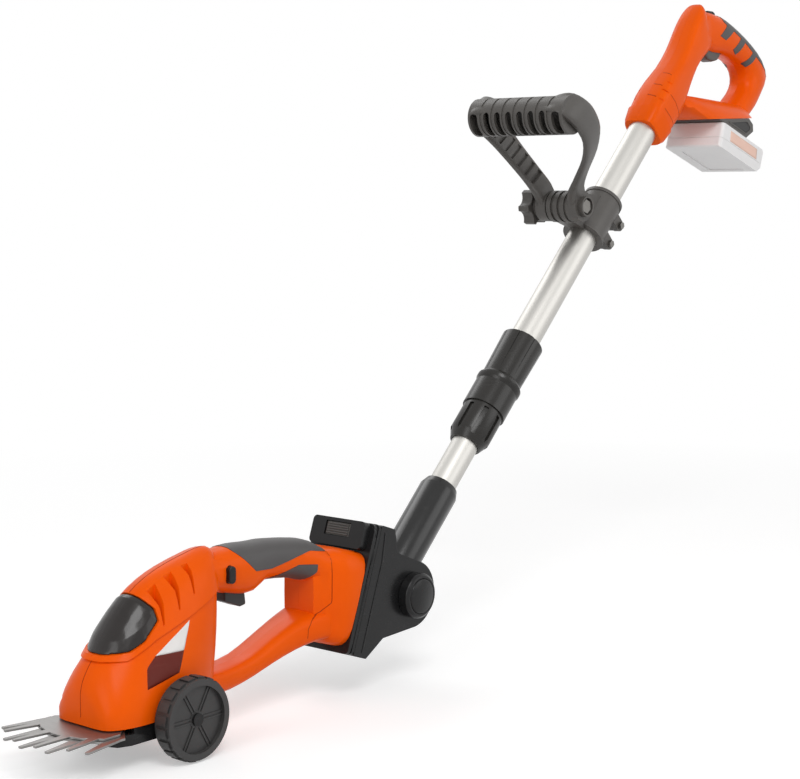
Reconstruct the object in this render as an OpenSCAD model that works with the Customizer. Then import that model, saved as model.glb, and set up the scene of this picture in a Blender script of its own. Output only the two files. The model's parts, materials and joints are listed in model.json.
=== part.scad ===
// Cordless grass shears on wheels with a tilting telescopic pole, loop handle and rear handle.
// Front of the tool is -X, its left side is -Y, up is +Z and the wheels stand on z = 0.

/* [Wheels] */
// Radius of each wheel
wheel_r = 33; // [28:1:40]
// Width of each wheel
wheel_w = 16; // [12:1:20]
// Distance from the middle plane to a wheel's inner face
wheel_in = 41.5; // [40.5:0.5:50]
// Radius of the axle
axle_r = 3; // [2:0.25:4]
// Radius of the hub on a wheel's face
hub_r = 7; // [5:0.5:10]
// Depth of the recess in a wheel's outer face
recess_d = 3.5; // [2:0.5:5]
// Grooves round the tread
tread_count = 20; // [8:1:24]
// Depth of a tread groove
tread_d = 1.5; // [0.4:0.1:2]

/* [Front housing] */
// Distance of the nose ahead of the axle
nose_reach = 69; // [66:1:80]
// Length of the hood from nose to rear edge
hood_len = 133; // [125:1:145]
// Height of the hood above its lower edge
hood_h = 118; // [105:1:130]
// Height of the housing's lower edge above the floor
skirt_z = 34; // [32:0.5:38]
// Full width of the hood
hood_w = 80; // [70:1:81]
// Depth of the air slots
vent_d = 7; // [3:0.5:12]

/* [Body handle] */
// Height of the grip's middle line above the floor
grip_z = 131; // [125:1:138]
// Full height of the grip
grip_h = 35; // [30:1:40]
// Full width of the grip
grip_w = 39; // [34:1:44]
// Height of the lower strut's middle line at its front
strut_z = 42; // [40:1:46]
// Rise of the lower strut to the dock
strut_rise = 26; // [20:1:32]
// Full height of the lower strut
strut_h = 22; // [18:1:26]
// Full width of the lower strut
strut_w = 40; // [34:1:46]
// Travel of the trigger
trigger_travel = 5; // [3:0.5:6]
// Travel of the side lock-off button
lock_travel = 3; // [2:0.5:4]

/* [Blades] */
// Radius of the arc of the tooth tips about the blade pin
tip_r = 66; // [60:1:72]
// Distance of the blade pin ahead of the axle
pin_reach = 60; // [56:1:64]
// Thickness of each blade
blade_t = 1.8; // [1.4:0.1:2.2]
// Distance between neighbouring fixed teeth
tooth_pitch = 24.5; // [22:0.5:26]
// Length of a tooth
tooth_len = 36; // [30:1:40]
// Radius of the blade pin
pin_r = 4; // [3:0.25:5]
// Throw of the crank pin
crank_throw = 5; // [3:0.5:6]

/* [Dock and adapter] */
// Lean of the dock's rear face from upright, in degrees
dock_lean = 19.5; // [15:0.5:24]
// Distance of the dock's reference point behind the axle
dock_x = 197.4; // [190:0.1:205]
// Height of the dock's reference point above the floor
dock_z = 53.8; // [50:0.1:58]
// Height of the dock along its lean
dock_h = 84; // [80:1:90]
// Depth of the dock
dock_d = 46; // [42:1:50]
// Full width of the dock and the adapter
dock_w = 70; // [66:1:76]
// Thickness of the adapter's front shell
front_t = 9; // [7:0.5:12]
// Thickness of both adapter shells
adapter_t = 26; // [22:1:30]
// Height of the adapter along its lean
adapter_h = 115; // [110:1:122]

/* [Pole] */
// Angle of the pole above the floor, in degrees
pole_angle = 45; // [40:1:55]
// Distance of the tilt axis behind the axle
pivot_x = 281; // [275:1:290]
// Height of the tilt axis above the floor
pivot_z = 79; // [75:1:84]
// Radius of the adapter's cheeks round the tilt axis
cheek_r = 30; // [27:1:33]
// Radius of the tilt bolt
bolt_r = 6; // [4:0.5:8]
// Outer radius of the pole socket
socket_r = 18.5; // [17:0.5:19]
// Length of the pole socket from the tilt axis
socket_len = 118; // [105:1:130]
// Outer radius of the lower tube
low_r = 13; // [11:0.25:13.25]
// Outer radius of the upper tube
up_r = 15; // [14.75:0.25:17]
// Wall of the tubes
tube_wall = 1.5; // [1:0.1:1.6]
// Place of the lower tube's upper end along the pole
low_end = 560; // [500:5:570]
// Place of the lock nut's lower end along the pole
nut_at = 168; // [150:1:190]
// Length of the lock nut
nut_len = 67; // [58:1:75]
// Radius of the lock nut
nut_r = 21.6; // [20.5:0.1:24]
// Length of the lock sleeve above the nut
sleeve_len = 60; // [50:1:70]
// Radius of a pivot ring on a cheek
ring_r = 20.2; // [18:0.2:23]
// Height of a pivot ring on a cheek
ring_h = 11; // [9:0.5:13]
// Radius of a pivot button
pivot_button_r = 15.6; // [12:0.2:17]

/* [Loop handle] */
// Place of the clamp's middle along the pole
clamp_at = 465; // [440:1:490]
// Length of the clamp
clamp_len = 52; // [44:1:60]
// Outer radius of the clamp
clamp_r = 20; // [19:0.5:23]
// Place of the hinge along the pole
hinge_at = 437; // [425:1:445]
// Height of the hinge over the pole's axis
hinge_up = 46; // [42:1:52]
// Radius of the hinge barrel and leg ends
barrel_r = 15; // [13:0.5:17]
// Lean of the loop handle from the pole's normal, in degrees
loop_lean = 7.5; // [0:0.5:15]
// Distance from hinge to grip bar
loop_len = 109; // [95:1:120]
// Full width of the loop handle
loop_w = 126; // [110:1:140]
// Radius of the grip bar
bar_r = 18.5; // [16:0.5:20]
// Depth of the handle's legs
leg_d = 27; // [22:1:30]
// Radius of the star knob
star_r = 19; // [15:0.5:22]
// Height of the star knob
star_h = 18; // [14:1:22]
// Radius of the hinge bolt
hinge_r = 4; // [3:0.25:5]

/* [Rear handle] */
// Place of the handle's lower end along the pole
column_at = 592; // [580:1:600]
// Length of the handle's column along the pole
column_len = 166; // [158:1:172]
// Radius of the handle's column
column_r = 21.5; // [20.5:0.5:24]
// Height of the finger opening's floor above the column's lower end
loop_up = 37.4; // [34:0.1:41]
// Height of the rear grip's top above the column's end
loop_over = 20; // [15:1:25]
// Length of the rear grip loop behind the column
loop_back = 150; // [140:1:160]
// Full width of the rear grip
rear_w = 36; // [32:1:40]
// Travel of the rear trigger
rear_travel = 4; // [2:0.5:5]

/* [Battery] */
// Distance of the battery's front top edge behind the column's lower end
pack_back = 109.4; // [106:0.1:114]
// Height of the battery's front top edge above the column's lower end
pack_up = 13.4; // [11:0.1:16]
// Slope of the battery, in degrees
pack_lean = 18; // [14:0.5:22]
// Length of the battery
pack_len = 95; // [85:1:105]
// Depth of the battery
pack_d = 28; // [25:0.5:31]
// Full width of the battery
pack_w = 70; // [66:1:76]

/* [Fits] */
// Running clearance round pins and shafts
run_gap = 0.06; // [0.02:0.01:0.1]
// Clearance between seated pieces of one body
seat_gap = 0.1; // [0.05:0.05:0.2]
// Clearance between moving faces
move_gap = 0.4; // [0.3:0.05:0.6]
// Overrun of a cut past a face
over = 1; // [0.5:0.5:2]
// Radius of the case screws
screw_r = 2; // [1.5:0.25:3]
// Rounding of moulded corners
soft_r = 4; // [2:0.5:6]

/* [Hidden] */
$fn = 48;
column_x = pivot_x + column_at * cos(pole_angle);
column_z = pivot_z + column_at * sin(pole_angle);
loop_z = column_z + loop_up;
pack_x = column_x + pack_back;
pack_z = column_z + pack_up;
x_front = -pin_reach - tip_r;
x_back = rear_x(0.985) + seat_gap * 3.89;
x_mid = (x_front + x_back) / 2;
loop_rise = pivot_z + (column_at + column_len) * sin(pole_angle) + loop_over - loop_z;
pivot_n = (pivot_x - dock_x) * cos(dock_lean) - (pivot_z - dock_z) * sin(dock_lean);
pivot_u = (pivot_x - dock_x) * sin(dock_lean) + (pivot_z - dock_z) * cos(dock_lean);
dock_low = dock_h * 0.095;
adapter_low = dock_low * 1.6;
hook_t = front_t * 0.9;
tongue_t = front_t * 0.45;
tongue_w = dock_w * 0.62;
stem_w = dock_w * 0.46;
base_t = skirt_z * 0.26;
fixed_z = skirt_z - base_t * 0.55;
moving_z = fixed_z + blade_t + seat_gap;
fork_w = (socket_r + run_gap * 10) * 2;
cheek_t = (dock_w - fork_w) / 2 - seat_gap * 10;
nose_r = low_r + (nut_r - low_r) * 0.46;
bush_r = up_r - tube_wall * 0.35;
sleeve_at = nut_at + nut_len + seat_gap * 5;
tube_end = column_at + column_len * 0.34;
big = hood_len * 4.5;
hood_rows_share = [[0, 0, 0.2, 0.42, 0.3], [0.0075, 0.014, 0.27, 0.62, 0.3],
  [0.026, 0.05, 0.345, 0.75, 0.32],
  [0.075, 0.1, 0.42, 0.87, 0.34], [0.15, 0.15, 0.49, 0.95, 0.38], [0.248, 0.24, 0.63, 0.985, 0.38],
  [0.342, 0.365, 0.77, 0.97, 0.35], [0.455, 0.5, 0.86, 0.95, 0.27], [0.59, 0.647, 0.92, 0.91, 0.15],
  [0.714, 0.79, 0.96, 0.82, 0.05], [0.793, 0.895, 0.985, 0.72, 0], [0.85, 0.97, 0.985, 0.6, 0],
  [0.872, 1, 0.95, 0.47, 0]];
grip_rows_share = [[0, 0.03, 0.69, 0.87], [0.19, 0.03, 1, 0.97], [0.32, 0.08, 1.183, 1], [0.42, 0.1,
  1.17, 0.97], [0.49, 0.013, 0.974, 0.96],
  [0.55, 0, 0.94, 0.95], [0.68, 0.06, 0.94, 0.95], [0.77, 0.13, 0.97, 0.97], [0.87, 0.26, 1.03, 1.13],
    [1, 0.54, 0.91, 1.43]];
strut_rows_share = [[0, 0.04, 1, 1.2], [0.18, 0, 0.91, 1.05], [0.32, -0.02, 0.86, 0.875], [0.47, 0.135,
  0.82, 0.825],
  [0.62, 0.46, 0.95, 0.85], [0.76, 0.75, 1.09, 0.95], [0.89, 0.94, 1.18, 1.15], [1, 1, 1.27, 1.4]];
dock_rows_share = [[-0.66, 0.17, -1, 0.71, 0.49], [-0.48, 0.08, -0.89, 0.85, 0.6], [-0.25, 0.01, -0.67,
  0.94, 0.83],
  [-0.12, 0, -0.42, 0.98, 0.985], [0, 0, 0, 1, 1]];
rear_rows_share = [[-0.08, 0.34, -0.08, 0.66, 0.7], [0.03, 0.53, 0.03, 0.93, 0.84],
  [0.21, 0.51, 0.22, 0.95, 0.93], [0.33, 0.51, 0.37,
  0.9, 1],
  [0.47, 0.48, 0.53, 0.81, 1], [0.61, 0.42, 0.73, 0.67, 1], [0.68, 0.32, 0.9, 0.51, 1], [0.68, 0.21,
    0.985, 0.32, 1],
  [0.63, 0.11, 0.915, 0.14, 1], [0.55, 0.02, 0.805, -0.04, 1.05], [0.47, -0.1, 0.69, -0.15, 1.1]];
foot_rows_share = [[-0.31, 0.035, 0.55, -0.03, 0.84], [-0.32, -0.01, 0.6, -0.05, 1.1],
  [-0.27, -0.1, 0.625, -0.1, 1.5], [-0.1, -0.2214, 0.64, -0.174, 1.83]];
window_share = [[-0.143, 0.45], [0.113, 0.44], [0.226, 0.458], [0.323, 0.508], [0.437, 0.62], [0.437,
  0.695], [0.391, 0.763],
  [0.339, 0.83], [-0.143, 0.98]];
brow_share = [[-0.083, 0.424], [0.083, 0.407], [0.195, 0.411], [0.289, 0.458], [0.391, 0.513], [0.541,
  0.574],
  [0.677, 0.627], [0.865, 0.699], [1.083, 0.78], [1.083, 1.15], [-0.083, 1.15]];
top_grip_share = [[0.24, 0.83], [0.26, 0.43], [0.39, -0.11], [0.51, -0.14], [0.57, -0.1], [0.81, 0.09],
  [0.93, 0], [0.97, 0.26],
  [0.97, 0.83]];
under_grip_share = [[0.52, -0.9], [0.523, -0.44], [0.72, -0.2], [0.85, -0.27], [0.85, -0.46], [0.81,
  -0.66], [0.77, -0.9]];
insert_share = [[0.29, 1.05], [1.1, 1.05], [1.1, 0.31], [0.95, 0.31], [0.9, 0.38], [0.81, 0.46], [0.74,
  0.52], [0.655, 0.4],
  [0.605, 0.44], [0.69, 0.56], [0.575, 0.66], [0.475, 0.52], [0.42, 0.57], [0.515, 0.7], [0.41, 0.77],
    [0.3, 0.66],
  [0.225, 0.7], [0.32, 0.82], [0.29, 0.86]];
vent_share = [[0, 1], [0.32, 1], [0.3, 0.55], [0.16, 0.05], [0.12, 0.05], [0.17, 0.5]];

// Shares of the way along a row of stations, smoothed
function spow(v, p) = sign(v) * pow(abs(v), p);
function mix(a, b, t) = a + (b - a) * t;
function row(t, i) = t[min(max(i, 0), len(t) - 1)];
function blend(t, i, f) = let(a = row(t, i - 1), b = row(t, i), c = row(t, i + 1), d = row(t, i + 2))
  0.5 * (2 * b + (c - a) * f + (2 * a - 5 * b + 4 * c - d) * f * f + (3 * b - a - 3 * c + d) * f * f * f);
function fine(t, k) = concat([for (i = [0 : len(t) - 2]) for (j = [0 : k - 1]) blend(t, i, j / k)],
  [t[len(t) - 1]]);

// Ring across the side view from a low point to a high point
function ring(b, t, w, n, m) = [for (j = [0 : m - 1]) let(a = 360 * j / m, h = 0.5 + 0.5 * spow(sin(a),
  2 / n))
  [mix(b[0], t[0], h), w * spow(cos(a), 2 / n), mix(b[1], t[1], h)]];

// Ring of the hood: flat floor, flanks leaning in towards the top by a share of the width, domed top
function hood_ring(b, t, w, lean, n, m) = let(f = 0.2) concat([for (j = [0 : m]) let(a = 180 * j / m,
  u = pow(sin(a), 2 / n), h = f + (1 - f) * u)
  [mix(b[0], t[0], h), w * (1 - lean * u) * spow(cos(a), 2 / n), mix(b[1], t[1], h)]],
  [[b[0], -w * 0.97, b[1]], [b[0], w * 0.97, b[1]]]);

module loft(rings) {
  m = len(rings[0]);
  k = len(rings);
  flat = [for (r = rings) for (p = r) p];
  sides = [for (i = [0 : k - 2]) for (j = [0 : m - 1]) for (q = [0, 1]) let(a = i * m + j,
    b = i * m + (j + 1) % m)
    q == 0 ? [a, b + m, b] : [a, a + m, b + m]];
  first = [for (j = [0 : m - 1]) j];
  last = [for (j = [m - 1 : -1 : 0]) (k - 1) * m + j];
  polyhedron(flat, concat(sides, [first, last]));
}

module at_frame() translate([-x_mid, 0, 0]) children();
module pole_raw() translate([pivot_x, 0, pivot_z]) rotate([0, -pole_angle, 0]) children();
module pole() at_frame() pole_raw() children();
module dock_raw() translate([dock_x, 0, dock_z]) rotate([0, dock_lean, 0]) children();
module dock() at_frame() dock_raw() children();
module pack_raw() translate([pack_x, 0, pack_z]) rotate([0, pack_lean, 0]) children();
module pack() at_frame() pack_raw() children();
module loop_at() pole() translate([hinge_at, 0, hinge_up]) rotate([0, loop_lean, 0]) children();

module rod_x(r, a, b) translate([a, 0, 0]) rotate([0, 90, 0]) cylinder(r = r, h = b - a);
module cone_x(ra, rb, a, b) translate([a, 0, 0]) rotate([0, 90, 0]) cylinder(r1 = ra, r2 = rb, h = b - a);
module rod_y(r, a, b) translate([0, a, 0]) rotate([-90, 0, 0]) cylinder(r = r, h = b - a);
module rod_z(r, a, b) translate([0, 0, a]) cylinder(r = r, h = b - a);
module block(a, b) translate(a) cube(b - a);
module slab(pts, a, b) translate([0, b, 0]) rotate([90, 0, 0]) linear_extrude(b - a) polygon(pts);
module slab_soft(pts, a, b) translate([0, b, 0]) rotate([90, 0, 0]) linear_extrude(b - a)
  offset(r = soft_r / 2) offset(delta = -soft_r / 2) polygon(pts);
module slab_wide(pts, w, grow) translate([0, w, 0]) rotate([90, 0, 0]) linear_extrude(w * 2)
  offset(delta = grow) polygon(pts);
module half(side) {
  intersection() {
    children();
    translate([-big, side > 0 ? seat_gap / 2 : -big - seat_gap / 2, -big]) cube([big * 3, big, big * 3]);
  }
}

function hood_pts(s) = [for (p = s) [-nose_reach + p[0] * hood_len, skirt_z + p[1] * hood_h]];
function hood_x(t) = -nose_reach + t * hood_len;
function grip_x(t) = mix(hood_x(0.8233), dock_x * 0.9904, t);
function strut_x(t) = mix(hood_x(0.6688), dock_x * 0.9621, t);
function grip_pts(s) = [for (p = s) [grip_x(p[0]), grip_z + p[1] * grip_h]];
function rear_x(t) = pack_x + (t - 0.093) * loop_back;
foot_share = 0.24;
function rear_z(t) = loop_z + t * (t < 0 ? (loop_z - pack_z) / foot_share : loop_rise);
function foot_z(t) = rear_z(mix(-0.215, -0.174, t / 0.64)) - seat_gap;
function rear_pts(s) = [for (p = s) [rear_x(p[0]), rear_z(p[1])]];

module hood_form(grow) loft([for (s = fine(hood_rows_share, 2)) let(k = 1 + grow * 2 / hood_len)
  hood_ring([hood_x(s[0] * k) - grow, skirt_z], [hood_x(s[1] * k) - grow, skirt_z + s[2] * hood_h + grow],
    s[3] * hood_w / 2 + grow, s[4], 2.3, 20)]);
brow_t = hood_h * 0.0136;
module brow_form() intersection() {
  hood_form(brow_t);
  slab(hood_pts(brow_share), -hood_w, hood_w);
}
module grip_form(grow) loft([for (s = fine(grip_rows_share, 2)) let(z = grip_z - s[1] * grip_h,
  h = s[2] * grip_h / 2 + grow)
  ring([grip_x(s[0]), z - h], [grip_x(s[0]), z + h], s[3] * grip_w / 2 + grow, 2.4, 24)]);
module strut_form() loft([for (s = fine(strut_rows_share, 2)) let(x = strut_x(s[0]),
  z = strut_z + s[1] * strut_rise, h = s[2] * strut_h / 2) ring([x, z - h], [x, z + h],
    s[3] * strut_w / 2, 4, 24)]);
module dock_form() dock_raw() loft([for (s = fine(dock_rows_share, 2)) ring([s[0] * dock_d,
  s[1] * dock_h - dock_low],
  [s[2] * dock_d, s[3] * dock_h - dock_low], s[4] * dock_w / 2, 5, 24)]);
module body_form() {
  hood_form(0);
  brow_form();
  grip_form(0);
  strut_form();
  dock_form();
}

trigger_x = grip_x(0.23);
trigger_l = grip_h * 0.72;
trigger_w = grip_w * 0.4;
module trigger_cut() block([trigger_x - move_gap, -trigger_w / 2 - move_gap, skirt_z * 2.5],
  [trigger_x + trigger_l + move_gap, trigger_w / 2 + move_gap,
    grip_z - grip_h * 0.25 + trigger_travel + move_gap]);
lock_x = grip_x(0.2);
lock_z = grip_z - grip_h * 0.06;
lock_h = grip_h * 0.2;
lock_r = lock_h * 0.53;
lock_in = grip_w * 0.24;
module lock_form(grow, a, b) {
  translate([lock_x, 0, lock_z - lock_h / 2]) rod_y(lock_r + grow, a, b);
  translate([lock_x, 0, lock_z + lock_h / 2]) rod_y(lock_r + grow, a, b);
  block([lock_x - lock_r - grow, a, lock_z - lock_h / 2], [lock_x + lock_r + grow, b,
    lock_z + lock_h / 2]);
}
bracket_l = wheel_r * 0.4;
bracket_w = wheel_in * 0.94;
bracket_low = wheel_r * 0.7;
bracket_top = wheel_r * 1.3;
module bracket_cut() block([-bracket_l - seat_gap, -bracket_w - over, 0], [bracket_l + seat_gap,
  bracket_w + over, bracket_top + seat_gap]);
crank_x = -pin_reach * 0.6;
crank_r = pin_reach * 0.16;
gear_l = pin_reach * 0.36;
gear_w = hood_w * 0.22;
gear_low = skirt_z + crank_r * 0.45;
gear_top = gear_low + crank_r * 2.9;
motor_x = -nose_reach * 0.132;
motor_r = hood_w * 0.17;
motor_top = gear_top + motor_r * 2.1;
module drive_cut() {
  translate([crank_x, 0, 0]) rod_z(crank_r + move_gap, skirt_z - over, gear_low + over);
  block([crank_x - gear_l - seat_gap, -gear_w - seat_gap, gear_low - seat_gap],
    [crank_x + gear_l + seat_gap, gear_w + seat_gap, gear_top + seat_gap]);
  translate([motor_x, 0, 0]) rod_z(motor_r + seat_gap, gear_top - gear_w, motor_top + seat_gap);
}
module tongue(grow, top) {
  block([-tongue_t * 2.4 - grow, -tongue_w / 2 - grow, dock_low * 0.3 - grow], [-tongue_t * 1.4 + grow,
    tongue_w / 2 + grow, top]);
  block([-tongue_t * 1.6, -stem_w / 2 - grow, dock_low * 0.3 - grow], [over, stem_w / 2 + grow, top]);
}
contact_w = stem_w * 0.8;
module contact_cut(grow) block([-tongue_t * 4.6 - grow, -contact_w / 2 - grow, dock_h * 0.26 - grow],
  [-tongue_t * 2.4 - move_gap, contact_w / 2 + grow, dock_h * 0.56 + grow]);
vent_h = hood_h * 0.26;
vent_step_x = hood_len * 0.128;
vent_step_z = hood_h * 0.078;
module vents(side) {
  for (i = [0 : 2])
    slab([for (p = vent_share) [hood_x(0.426) + i * vent_step_x + p[0] * vent_h,
      skirt_z + hood_h * 0.575 + i * vent_step_z + p[1] * vent_h]],
      side > 0 ? hood_w * 0.42 - vent_d * 3.2 : -hood_w, side > 0 ? hood_w : -hood_w * 0.42 + vent_d * 3.2);
}
screw_spots = [[hood_x(0.654), skirt_z + hood_h * 0.22], [hood_x(0.0467), skirt_z + hood_h * 0.12],
  [hood_x(0.7444), skirt_z + hood_h * 0.72], [grip_x(0.461), grip_z - grip_h * 0.33],
  [strut_x(0.5887), strut_z + strut_rise * 0.44], [dock_x * 0.927, grip_z - grip_h * 1.7]];
screw_y = strut_w * 0.24;
module screw_holes() for (p = screw_spots) translate([p[0], 0, p[1]]) rod_y(screw_r * 1.6, screw_y,
  hood_w);
module housing(side) {
  difference() {
    half(side) body_form();
    slab_wide(hood_pts(window_share), hood_w, seat_gap);
    slab_wide(grip_pts(top_grip_share), hood_w, seat_gap);
    slab_wide(grip_pts(under_grip_share), hood_w, seat_gap);
    bracket_cut();
    drive_cut();
    trigger_cut();
    vents(side);
    dock_raw() tongue(move_gap, dock_h * 1.5);
    dock_raw() contact_cut(seat_gap);
    if (side > 0) screw_holes();
    if (side < 0) lock_form(move_gap, -grip_w, -lock_in);
  }
}
module housing_left() color("darkorange") at_frame() housing(-1);
module housing_right() color("darkorange") at_frame() housing(1);
module nose_window() color("dimgray") at_frame() intersection() {
  hood_form(brow_t * 0.4);
  slab_wide(hood_pts(window_share), hood_w, 0);
}
module top_grip() color("dimgray") at_frame() intersection() {
  grip_form(seat_gap * 4);
  slab_wide(grip_pts(top_grip_share), hood_w, 0);
}
module under_grip() color("dimgray") at_frame() intersection() {
  grip_form(seat_gap * 4);
  slab_wide(grip_pts(under_grip_share), hood_w, 0);
}

base_share = [[-0.93, 0.28], [-0.87, 0.4], [-0.72, 0.45], [-0.22, 0.455]];
module base_outline() {
  r = [for (p = base_share) [p[0] * nose_reach, p[1] * hood_w]];
  polygon(concat(r, [[-bracket_l - seat_gap, hood_w * 0.43], [-bracket_l - seat_gap, -hood_w * 0.43]],
    [for (i = [3 : -1 : 0]) [r[i][0], -r[i][1]]]));
}
module base_plate() color("black") at_frame() difference() {
  union() {
    translate([0, 0, fixed_z - base_t]) linear_extrude(base_t - seat_gap) base_outline();
    translate([0, 0, fixed_z - base_t]) linear_extrude(skirt_z - seat_gap - fixed_z + base_t)
      difference() {
      base_outline();
      offset(delta = -hood_w * 0.04) base_outline();
      translate([-nose_reach * 1.68, -hood_w]) square([nose_reach, hood_w * 2]);
    }
  }
  translate([-pin_reach, 0, 0]) rod_z(pin_r + seat_gap, 0, skirt_z * 2);
}
module axle_bracket() color("black") at_frame() difference() {
  block([-bracket_l, -bracket_w, bracket_low], [bracket_l, bracket_w, bracket_top]);
  translate([0, 0, wheel_r]) rod_y(axle_r + seat_gap / 2, -hood_w, hood_w);
}
wheel_out = wheel_in + wheel_w;
module axle() color("silver") at_frame() translate([0, 0, wheel_r]) {
  rod_y(axle_r, -wheel_out + recess_d * 0.3, wheel_out - recess_d * 0.3);
  for (s = [0, 1]) mirror([0, s, 0]) rod_y(hub_r * 0.72, wheel_out - recess_d * 0.8,
    wheel_out - recess_d * 0.3);
}
module wheel() difference() {
  union() {
    rod_z(wheel_r - tread_d, 0, wheel_w);
    rod_z(wheel_r, tread_d * 2, wheel_w - tread_d * 2);
  }
  rod_z(wheel_r * 0.8, wheel_w - recess_d, wheel_w + over);
  rod_z(axle_r + run_gap, -over, wheel_w + over);
  for (i = [0 : tread_count - 1]) rotate([0, 0, i * 360 / tread_count]) block([wheel_r - tread_d,
    -tread_d, -over], [wheel_r + over, tread_d, wheel_w + over]);
}
module wheel_ribs() {
  difference() {
    rod_z(hub_r, wheel_w - recess_d - over, wheel_w - recess_d * 0.85);
    rod_z(axle_r + run_gap, 0, wheel_w + over);
  }
  for (i = [0 : 5]) for (s = [-1, 1]) rotate([0, 0, i * 60]) translate([0, s * hub_r * 0.2, 0])
    block([hub_r * 0.9, -hub_r * 0.07, wheel_w - recess_d - over], [wheel_r * 0.81, hub_r * 0.07,
      wheel_w - recess_d * 0.75]);
}
module wheel_left() color("black") at_frame() translate([0, -wheel_in, wheel_r]) rotate([90, 0, 0]) {
  wheel();
  wheel_ribs();
}
module wheel_right() color("black") at_frame() translate([0, wheel_in, wheel_r]) rotate([-90, 0, 0]) {
  wheel();
  wheel_ribs();
}

function tip(y, r) = [-sqrt(r * r - y * y), y];
module tooth(y, r, lean, root) {
  translate(tip(y, r)) rotate(lean) linear_extrude(blade_t)
    polygon([[0, -root * 0.36], [tooth_len, -root], [tooth_len, root], [0, root * 0.36]]);
}
module blade_form(n, r, root, back, tail) {
  for (i = [0 : n - 1]) let(k = i - (n - 1) / 2) tooth(k * tooth_pitch, r, -k * 7.5, root);
  linear_extrude(blade_t) polygon([[-tip_r * 0.51, -root], [-tip_r * 0.51, root], [-tip_r * 0.43,
    tooth_pitch * 0.95],
    [-tip_r * 0.27, back], [-tip_r * 0.04, back], [tip_r * 0.2, tooth_pitch], [tip_r * 0.58, tail],
      [tip_r * 0.58, -tail],
    [tip_r * 0.2, -tooth_pitch], [-tip_r * 0.04, -back], [-tip_r * 0.27, -back], [-tip_r * 0.43,
      -tooth_pitch * 0.95]]);
}
module fixed_blade() color("silver") at_frame() translate([-pin_reach, 0, fixed_z]) difference() {
  blade_form(5, tip_r, tooth_pitch * 0.18, tooth_pitch * 1.78, pin_r * 3);
  rod_z(pin_r + seat_gap, -over, blade_t + over);
}
module moving_blade() color("silver") at_frame() translate([-pin_reach, 0, moving_z]) difference() {
  blade_form(4, tip_r * 0.96, tooth_pitch * 0.17, tooth_pitch * 1.55, pin_r * 3);
  rod_z(pin_r + run_gap, -over, blade_t + over);
  translate([crank_x + pin_reach + crank_throw * 0.78, 0, 0]) rod_z(crank_throw * 0.84, -over,
    blade_t + over);
}
module blade_pin() color("silver") at_frame() translate([-pin_reach, 0, 0]) {
  rod_z(pin_r, fixed_z - base_t * 0.6, skirt_z - seat_gap * 2);
}
module crank() color("silver") at_frame() translate([crank_x, 0, 0]) {
  rod_z(crank_r, moving_z + blade_t + move_gap, gear_low - move_gap);
  rod_z(crank_r * 0.3, gear_low - over, gear_low + crank_r);
  translate([crank_throw, 0, 0]) rod_z(crank_throw * 0.4, moving_z + move_gap, moving_z + blade_t + over);
}
module gearbox() color("dimgray") at_frame() difference() {
  block([crank_x - gear_l, -gear_w, gear_low], [crank_x + gear_l, gear_w, gear_top]);
  translate([crank_x, 0, 0]) rod_z(crank_r * 0.3 + run_gap, 0, gear_low + crank_r + move_gap);
}
module motor() color("silver") at_frame() translate([motor_x, 0, 0]) difference() {
  union() {
    rod_z(motor_r, gear_top + seat_gap * 2, motor_top);
    rod_z(motor_r * 0.2, gear_top + seat_gap, motor_top);
  }
  for (s = [-1, 1]) block([-motor_r * 0.2, s * motor_r * 0.9 - over, gear_top + motor_r],
    [motor_r * 0.2, s * motor_r * 0.9 + over, gear_top + motor_r * 1.5]);
}
module trigger() color("dimgray") at_frame() slab([[trigger_x, grip_z - grip_h * 0.3], [trigger_x,
  grip_z - grip_h * 0.77],
  [trigger_x + trigger_l * 0.72, grip_z - grip_h * 0.97], [trigger_x + trigger_l * 0.96,
    grip_z - grip_h * 0.94],
  [trigger_x + trigger_l * 0.9, grip_z - grip_h * 0.6], [trigger_x + trigger_l * 0.78,
    grip_z - grip_h * 0.25],
  [trigger_x + trigger_l * 0.3, grip_z - grip_h * 0.25]], -trigger_w / 2, trigger_w / 2);
module lock_off() color("black") at_frame() lock_form(0, -grip_w * 0.575,
  -lock_in - lock_travel - move_gap);
module housing_screws() color("silver") at_frame() for (p = screw_spots) translate([p[0], 0, p[1]])
  difference() {
  rod_y(screw_r * 1.5, screw_y, screw_y + screw_r);
  block([-screw_r, screw_y + screw_r * 0.6, -screw_r * 0.2], [screw_r, screw_y + screw_r + over,
    screw_r * 0.2]);
}
module dock_contacts() color("black") dock() difference() {
  contact_cut(0);
  for (i = [-1.5 : 1 : 1.5]) block([-tongue_t * 3.4, i * contact_w * 0.22 - contact_w * 0.04,
    dock_h * 0.3], [0, i * contact_w * 0.22 + contact_w * 0.04, dock_h]);
}

adapter_top = adapter_h - adapter_low;
hook_low = dock_h - dock_low + move_gap * 2;
hook_w = dock_w * 0.43;
button_w = dock_w * 0.2;
button_low = mix(hook_low, adapter_top, 0.36);
button_top = mix(hook_low, adapter_top, 0.82);
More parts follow.
